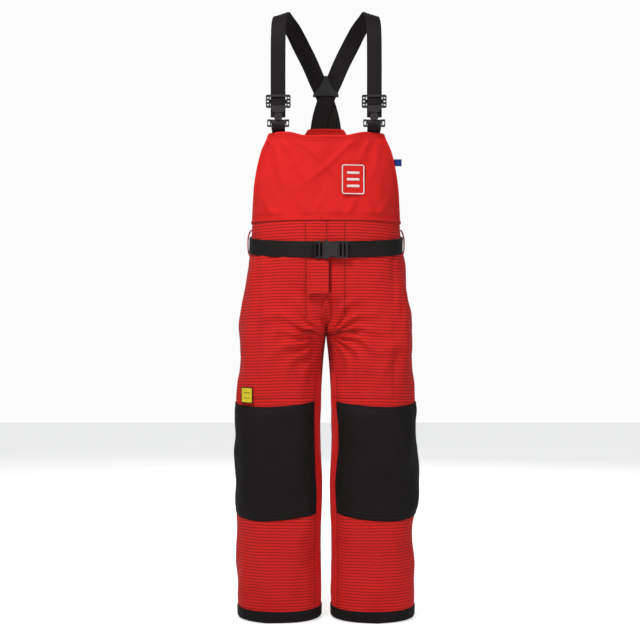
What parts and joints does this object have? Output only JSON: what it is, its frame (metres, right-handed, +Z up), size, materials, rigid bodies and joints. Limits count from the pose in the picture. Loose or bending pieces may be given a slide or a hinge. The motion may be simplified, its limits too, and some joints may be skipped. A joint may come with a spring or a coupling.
{
  "type": "bunker pants",
  "caption": "Bib trousers of heavy shell cloth with webbing suspenders, a waist belt with a side release buckle, and reinforced knees and hems.",
  "frame": {"origin": "on the level of the hems, under the middle of the trousers", "axes": "+X to the wearer's left, -Y to the front, +Z up"},
  "size_m": [0.452, 0.2674, 1.5001],
  "materials": {
    "shell_cloth": "red aramid shell cloth with fine dark red horizontal lines, matte",
    "plain_cloth": "plain red shell cloth, matte",
    "black_reinforcement": "black coated abrasion cloth, matte",
    "webbing": "black polyester webbing",
    "buckle_plastic": "dark grey moulded acetal",
    "patch_leather": "dark grey patch",
    "pad_foam": "closed cell foam",
    "badge_cloth": "embroidered patch with a pale edge",
    "label_cloth": "plain yellow woven label",
    "zip_cloth": "black zip tape",
    "zip_metal": "brushed brass"
  },
  "bodies": {
    "trunk": {"bib_front": "plain_cloth", "bib_back": "plain_cloth", "waist_front_left": "shell_cloth", "waist_front_right": "shell_cloth", "waist_back_left": "shell_cloth", "waist_back_right": "shell_cloth", "rise_strip": "plain_cloth", "fly_placket": "shell_cloth", "zip_tape": "zip_cloth", "chest_badge": "badge_cloth", "side_tab": "badge_cloth", "suspender_left": "webbing", "suspender_right": "webbing", "crosspatch_inner": "patch_leather", "crosspatch_outer": "patch_leather", "belt_back": "webbing", "belt_front_left": "webbing", "belt_front_right": "webbing", "belt_loop_left": "plain_cloth", "belt_loop_right": "plain_cloth", "belt_loop_back": "plain_cloth", "buckle_housing": "buckle_plastic", "strap_catch_left": "buckle_plastic", "strap_catch_right": "buckle_plastic", "bib_tab_left": "webbing", "bib_tab_right": "webbing", "hip_sleeve_left": "shell_cloth", "hip_sleeve_right": "shell_cloth"},
    "zip_slider": {"zip_slider": "zip_metal"},
    "buckle_tongue": {"buckle_tongue": "buckle_plastic", "belt_fold": "webbing"},
    "prong_upper": {"buckle_prong_upper": "buckle_plastic"},
    "prong_lower": {"buckle_prong_lower": "buckle_plastic"},
    "thigh_left": {"thigh_front_left": "shell_cloth", "thigh_back_left": "shell_cloth", "thigh_gusset_left": "plain_cloth", "knee_sleeve_left": "shell_cloth", "knee_panel_left": "black_reinforcement", "knee_pad_left": "pad_foam"},
    "shin_left": {"shin_front_left": "shell_cloth", "shin_back_left": "shell_cloth", "shin_gusset_left": "plain_cloth", "hem_binding_left": "black_reinforcement"},
    "adjuster_left": {"strap_adjuster_left": "buckle_plastic"},
    "release_tab_left": {"release_tab_left": "buckle_plastic"},
    "thigh_right": {"thigh_front_right": "shell_cloth", "thigh_back_right": "shell_cloth", "thigh_gusset_right": "plain_cloth", "knee_sleeve_right": "shell_cloth", "knee_panel_right": "black_reinforcement", "knee_pad_right": "pad_foam", "size_label": "label_cloth"},
    "shin_right": {"shin_front_right": "shell_cloth", "shin_back_right": "shell_cloth", "shin_gusset_right": "plain_cloth", "hem_binding_right": "black_reinforcement"},
    "adjuster_right": {"strap_adjuster_right": "buckle_plastic"},
    "release_tab_right": {"release_tab_right": "buckle_plastic"}
  },
  "joints": [
    {"name": "hip_left", "type": "hinge", "parent": "trunk", "child": "thigh_left", "pos_m": [0.1078, 0, 0.8], "axis": [-1, 0, 0], "range_deg": [0, 40], "deforming": ["hip_sleeve_left"]},
    {"name": "knee_left", "type": "hinge", "parent": "thigh_left", "child": "shin_left", "pos_m": [0.1165, -0.012, 0.42], "axis": [1, 0, 0], "range_deg": [0, 60], "deforming": ["knee_sleeve_left", "knee_panel_left", "knee_pad_left"]},
    {"name": "strap_adjust_left", "type": "slide", "parent": "trunk", "child": "adjuster_left", "axis": [0, 0, 1], "range_m": [0, 0.03]},
    {"name": "release_tab_left", "type": "hinge", "parent": "adjuster_left", "child": "release_tab_left", "pos_m": [0.116, -0.1067, 1.238], "axis": [-1, 0, 0], "range_deg": [0, 12], "stiffness_Nm_per_rad": 0.05},
    {"name": "hip_right", "type": "hinge", "parent": "trunk", "child": "thigh_right", "pos_m": [-0.1078, 0, 0.8], "axis": [-1, 0, 0], "range_deg": [0, 40], "deforming": ["hip_sleeve_right"]},
    {"name": "knee_right", "type": "hinge", "parent": "thigh_right", "child": "shin_right", "pos_m": [-0.1165, -0.012, 0.42], "axis": [1, 0, 0], "range_deg": [0, 60], "deforming": ["knee_sleeve_right", "knee_panel_right", "knee_pad_right"]},
    {"name": "strap_adjust_right", "type": "slide", "parent": "trunk", "child": "adjuster_right", "axis": [0, 0, 1], "range_m": [0, 0.03]},
    {"name": "release_tab_right", "type": "hinge", "parent": "adjuster_right", "child": "release_tab_right", "pos_m": [-0.116, -0.1067, 1.238], "axis": [-1, 0, 0], "range_deg": [0, 12], "stiffness_Nm_per_rad": 0.05},
    {"name": "zip_slide", "type": "slide", "parent": "trunk", "child": "zip_slider", "axis": [0, -0.01, -1], "range_m": [0, 0.045]},
    {"name": "belt_buckle_release", "type": "slide", "parent": "trunk", "child": "buckle_tongue", "axis": [-1, 0, 0], "range_m": [0, 0.032]},
    {"name": "buckle_prong_upper", "type": "hinge", "parent": "buckle_tongue", "child": "prong_upper", "pos_m": [-0.0055, -0.1327, 0.9185], "axis": [0, 1, 0], "range_deg": [0, 5], "stiffness_Nm_per_rad": 0.05},
    {"name": "buckle_prong_lower", "type": "hinge", "parent": "buckle_tongue", "child": "prong_lower", "pos_m": [-0.0055, -0.1327, 0.8935], "axis": [0, -1, 0], "range_deg": [0, 5], "stiffness_Nm_per_rad": 0.05}
  ]
}
